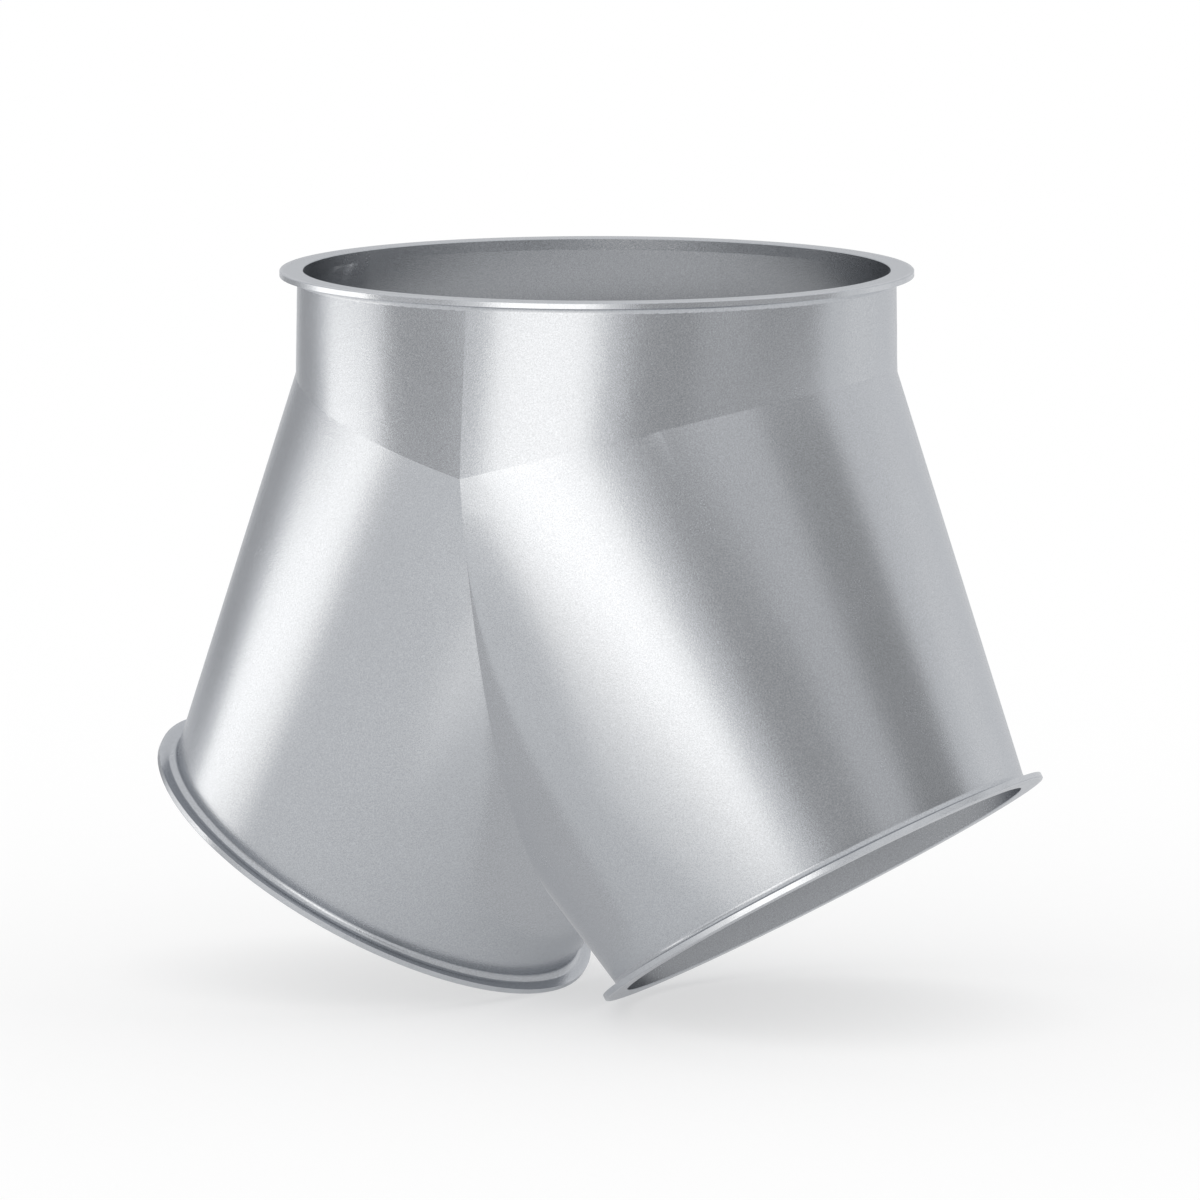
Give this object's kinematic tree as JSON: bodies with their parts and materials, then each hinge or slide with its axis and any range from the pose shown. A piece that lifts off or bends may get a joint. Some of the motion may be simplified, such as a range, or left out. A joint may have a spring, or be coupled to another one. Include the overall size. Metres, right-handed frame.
{
  "type": "y pipe fitting",
  "caption": "Symmetric sheet-steel Y piece: round lipped inlet collar over two tapered, mitred legs with lipped round outlets.",
  "frame": {"origin": "centre of the inlet mouth, on the face of its lip", "axes": "+Z along the inlet's axis, out of the mouth; the legs run down and apart in the XZ plane, the right one towards +X"},
  "size_m": [0.315, 0.216, 0.2496],
  "materials": {
    "satin_steel": "fine satin, blasted, without a grain direction"
  },
  "bodies": {
    "root": {"inlet_collar": "satin_steel", "right_leg": "satin_steel", "left_leg": "satin_steel"}
  },
  "joints": []
}
